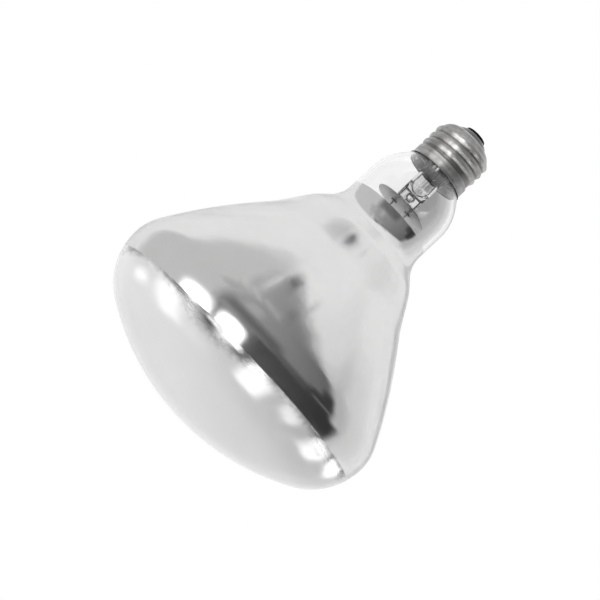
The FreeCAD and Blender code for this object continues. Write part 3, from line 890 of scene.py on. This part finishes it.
# cards round the lamp: turn is the angle from the camera towards -X, rise the angle above the horizon;
# an upper edge with a peak bows down on both sides of it, and the levels run along the turn
far = {"z": -75.0, "reach": 1200.0, "fills": True}
glint = {"z": -75.0, "reach": 1200.0, "fills": False}  # cards that only shine back from glossy surfaces
near = {"z": -120.0, "reach": 285.0, "fills": False}
cards = (
    # broad pale and grey cards, then the dark ones, with thin lines and small marks on them
    {"ball": far, "turn": (-98, -18), "rise": (-22, 69), "soft": (12, 8), "levels": (0.88, 0.92)},
    {"ball": far, "turn": (-128, -86), "rise": (-30, 52), "soft": (9, 9), "levels": (0.9, 0.72),
     "peak": (-86, 0.0085)},
    {"ball": far, "turn": (-94, -60), "rise": (-22, 49), "soft": (8, 9), "levels": (0.6, 0.52)},
    {"ball": far, "turn": (36, 126), "rise": (-30, 70.5), "soft": (6, 4), "levels": (0.66, 0.68),
     "peak": (54, 0.0105)},
    {"ball": far, "turn": (-72, 43), "rise": (-22, 71.8), "soft": (6, 2.7), "levels": (0.14, 0.42),
     "peak": (27, 0.0025)},
    {"ball": far, "turn": (36, 55), "rise": (33, 64), "soft": (6, 5), "levels": (0.5, 0.5)},
    {"ball": far, "turn": (39, 47), "rise": (60.5, 67), "soft": (3, 2), "levels": (0.8, 0.8)},
    {"ball": far, "turn": (46, 60), "rise": (53.8, 55.6), "soft": (4, 0.6), "levels": (0.74, 0.74)},
    {"ball": far, "turn": (27, 46), "rise": (55.8, 57.6), "soft": (4, 0.6), "levels": (0.64, 0.7)},
    {"ball": far, "turn": (0, 27), "rise": (58.2, 60), "soft": (4, 0.6), "levels": (0.52, 0.6)},
    {"ball": far, "turn": (-11, -1), "rise": (61.5, 65.5), "soft": (5, 2), "levels": (0.2, 0.2)},
    {"ball": far, "turn": (-27, -16), "rise": (68.2, 70.2), "soft": (5, 1.6), "levels": (0.4, 0.4)},
    {"ball": far, "turn": (18, 36), "rise": (68.8, 71.8), "soft": (4, 1.2), "levels": (0.06, 0.08)},
    {"ball": far, "turn": (12, 28), "rise": (24, 48), "soft": (5, 8), "levels": (0.47, 0.47)},
    {"ball": far, "turn": (-62, 38), "rise": (-26, 12.5), "soft": (5, 5), "levels": (0.05, 0.26)},
    {"ball": far, "turn": (-17, 37), "rise": (-26, 24), "soft": (7, 9), "levels": (0.13, 0.2)},
    {"ball": far, "turn": (-76, -47), "rise": (-19, 18), "soft": (5, 4), "levels": (0.04, 0.06)},
    {"ball": far, "turn": (-75, -60), "rise": (10, 29), "soft": (4, 5), "levels": (0.05, 0.05)},
    {"ball": far, "turn": (-16, 37), "rise": (-2, 7.5), "soft": (9, 4), "levels": (0.13, 0.36)},
    {"ball": far, "turn": (-58, 3), "rise": (-26, 2), "soft": (4, 2.5), "levels": (0.05, 0.09)},
    {"ball": far, "turn": (-89, -54), "rise": (-17, 2), "soft": (4, 2.5), "levels": (0.03, 0.05)},
    {"ball": far, "turn": (-74, -52), "rise": (5.8, 8), "soft": (3, 0.9), "levels": (0.2, 0.2)},
    # two panels in front, a flag by the outline, a grey strip behind the neck and a grey patch overhead
    {"ball": far, "turn": (42, 64), "rise": (-36, -3), "soft": (9, 8), "levels": (0.95, 0.95)},
    {"ball": glint, "turn": (12.5, 27.5), "rise": (-40, -9), "soft": (8, 10), "levels": (11.0, 11.0)},
    {"ball": far, "turn": (46, 61), "rise": (-40, -11), "soft": (12, 11), "levels": (8.0, 8.0)},
    {"ball": far, "turn": (-160, -150), "rise": (10, 45), "soft": (3, 6), "levels": (0.7, 0.7)},
    {"ball": far, "turn": (-179.4, -166), "rise": (2, 30), "soft": (0.6, 5), "levels": (0.3, 0.75)},
    {"ball": far, "turn": (150, 200), "rise": (76, 82), "soft": (16, 4), "levels": (0.66, 0.66)},
    {"ball": far, "turn": (-200, -150), "rise": (76, 82), "soft": (16, 4), "levels": (0.66, 0.66)},
    # small lamps round the face
    {"ball": near, "turn": (-114, -96), "rise": (-13, -4), "soft": (6, 4), "levels": (7.0, 7.0)},
    {"ball": near, "turn": (-89, -69), "rise": (-27, -9), "soft": (5, 5), "levels": (10.0, 10.0)},
    {"ball": near, "turn": (-52, -37), "rise": (-24, -12), "soft": (4, 4), "levels": (9.0, 9.0)},
    {"ball": near, "turn": (-25, -5), "rise": (-39, -13), "soft": (5, 5), "levels": (14.0, 14.0)},
    {"ball": near, "turn": (49, 70), "rise": (-37, -11), "soft": (6, 5), "levels": (7.0, 7.0)},
    {"ball": near, "turn": (80, 94), "rise": (-19, -11), "soft": (5, 4), "levels": (5.0, 5.0)},
)
view = {
    "focal": 99.0, "sensor": 36.0, "tilt": 8.5, "roll": (0.7284, 0.6852),
    "aim": (0.0, 0.0, -110.02), "away": 640.0, "up": -35.3, "side": 0.5, "clip": (0.01, 50.0),
}


def makeFloor():
    # rings of a flat disc, r by angle, facing up
    r = np.concatenate([[0], np.geomspace(studio["floorCore"], studio["floorR"], studio["floorRings"])])
    outline = np.stack([r, np.full(len(r), studio["floorZ"])], -1)[::-1]
    piece = meshPiece("studio_floor", turned(outline, studio["floorColumns"]))
    material, f = newFinish("pale_floor")
    grain = f.noise(9, 3.0)
    tone = f.shade(grey(studio["floorGrey"]), grey(studio["floorGrey"] - 0.02), grain)
    f.finishWith(f.node("BsdfDiffuse", None, {"Color": tone}))
    piece.data.materials.append(material)


def makeWorld():
    # one even white all round
    world = bpy.data.worlds.new("white_room")
    bpy.context.scene.world = world
    world.use_nodes = True
    f = Finish(world.node_tree)
    f.finishWith(f.node("Background", None, {"Color": grey(1.0), "Strength": 1.0}), "OutputWorld")


def makeCard(index, card):
    # part of a ball about the lamp: radius times (-cos rise sin turn, -cos rise cos turn, sin rise);
    # it glows from one level to the other along its turn and fades out at its edges
    name = "card_%d" % index
    (first, last), (low, high), (softTurn, softRise) = card["turn"], card["rise"], card["soft"]
    top, (peak, bow) = min(high + softRise, studio["steepest"]), card.get("peak", (0, 0))
    turn = np.radians(np.linspace(first - softTurn, last + softTurn, studio["cardSteps"]))
    rise = np.radians(np.linspace(low - softRise, top, studio["cardSteps"]))[:, None]
    radius, centre = card["ball"]["reach"] - index * studio["apart"], card["ball"]["z"]
    level, up = np.cos(rise), np.sin(rise) + 0 * turn
    way = np.stack([-level * np.sin(turn), -level * np.cos(turn), up], -1)
    piece = meshPiece(name, way * radius + [0, 0, centre], closed=False)

    material, f = newFinish(name)
    x, y = (f.node("SeparateXYZ", None, {0: f.coord()}, out=axis) * -1 for axis in "XY")
    up = (f.height() - centre * mm) / (radius * mm)
    turn = x.math("ARCTAN2", y) * np.degrees(1)
    rise = up.math("ARCSINE") * np.degrees(1)
    cover = turn.band(first, last, softTurn) * rise.step(low - softRise, low + softRise)
    cover = cover * (1 - (rise + (turn - peak)**2 * bow).step(high - softRise, high + softRise))
    start, end = card["levels"]
    light = (turn - first) * ((end - start) / (last - first)) + start
    clear, glow = f.node("BsdfTransparent"), f.node("Emission", None, {"Color": light})
    f.finishWith(f.node("MixShader", None, {0: cover, 1: clear, 2: glow}))
    piece.data.materials.append(material)
    piece.visible_camera = False
    piece.visible_diffuse = card["ball"]["fills"]


def makeCamera():
    # right and up are the lamp's axis and its cross direction as they lie in the picture
    tilt = np.radians(view["tilt"])
    ahead = np.array([0, np.cos(tilt), np.sin(tilt)])
    axis, cross = np.array([0, -np.sin(tilt), np.cos(tilt)]), np.array([1.0, 0, 0])
    a, b = view["roll"]
    right, up = a * axis + b * cross, b * axis - a * cross
    place = np.array(view["aim"]) - view["away"] * ahead - view["up"] * axis - view["side"] * cross
    camera = bpy.data.cameras.new("photo_camera")
    camera.lens, camera.sensor_width, camera.sensor_fit = view["focal"], view["sensor"], "HORIZONTAL"
    camera.clip_start, camera.clip_end = view["clip"]
    holder = bpy.data.objects.new("photo_camera", camera)
    bpy.context.scene.collection.objects.link(holder)
    turn = np.stack([right, up, -ahead], 1)
    holder.matrix_world = Matrix.Translation(Vector(place * mm)) @ Matrix(turn.tolist()).to_4x4()
    bpy.context.scene.camera = holder


makeFloor()
makeWorld()
for index, card in enumerate(cards):
    makeCard(index, card)
makeCamera()
bpy.context.scene.view_settings.view_transform = "Standard"
print("studio made")
